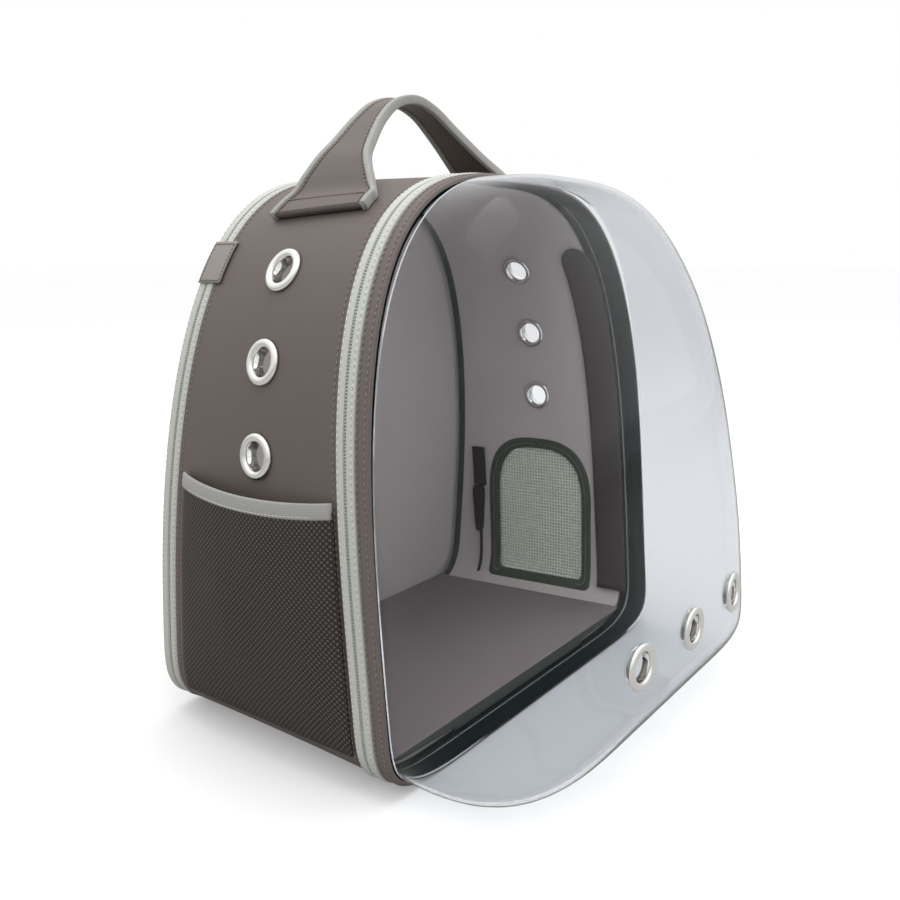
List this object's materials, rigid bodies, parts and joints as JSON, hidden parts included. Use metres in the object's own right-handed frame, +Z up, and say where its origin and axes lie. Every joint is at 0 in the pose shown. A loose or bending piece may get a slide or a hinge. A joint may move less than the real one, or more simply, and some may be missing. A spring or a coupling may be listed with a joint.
{
  "type": "bubble pet carrier backpack",
  "caption": "Arched backpack for a small pet, with a clear domed front shell, net pocket and window, vent eyelets, a carry handle and padded shoulder straps.",
  "frame": {"origin": "middle of the footprint box, on the floor under the flat sole", "axes": "+X across the bag towards the net window, -Y towards the clear shell, +Y towards the shoulder straps, +Z up"},
  "size_m": [0.353, 0.3772, 0.4378],
  "materials": {
    "leather": "taupe coated leather cloth with a fine grain",
    "tape": "pale grey woven zip tape",
    "teeth": "moulded nylon coil",
    "clear": "clear glossy thermoformed plastic",
    "metal": "bright plated",
    "lining": "matt lining cloth",
    "window_binding": "woven binding",
    "window_net": "fine pale net",
    "flap": "dark brown cloth",
    "pocket_net": "dark spacer net",
    "binding": "pale grey woven binding",
    "tag": "bare woven tag",
    "webbing": "black woven webbing",
    "plastic": "moulded black plastic"
  },
  "bodies": {
    "root": {"side_wall": "leather", "front_zip_tape_rear": "tape", "front_zip_teeth": "teeth", "front_zip_tape_fore": "tape", "front_rim": "leather", "bubble_shell": "clear", "back_zip_tape_rear": "tape", "back_zip_teeth": "teeth", "back_zip_tape_fore": "tape", "back_panel": "leather", "floor_pad": "lining", "window_binding": "window_binding", "window_mesh": "window_net", "inner_flap": "flap", "pocket_mesh": "pocket_net", "pocket_binding": "binding", "handle_strap": "leather", "handle_binding_fore": "binding", "handle_binding_rear": "binding", "label_tag": "tag", "leash_tab": "webbing", "leash_clip": "plastic", "leash_cord": "webbing", "shoulder_strap_left": "leather", "shoulder_strap_right": "leather", "strap_webbing_left": "webbing", "strap_webbing_right": "webbing", "side_eyelet_left_1": "metal", "side_eyelet_left_2": "metal", "side_eyelet_left_3": "metal", "side_eyelet_right_1": "metal", "side_eyelet_right_2": "metal", "side_eyelet_right_3": "metal", "shell_eyelet_1": "metal", "shell_eyelet_2": "metal", "shell_eyelet_3": "metal"}
  },
  "joints": []
}
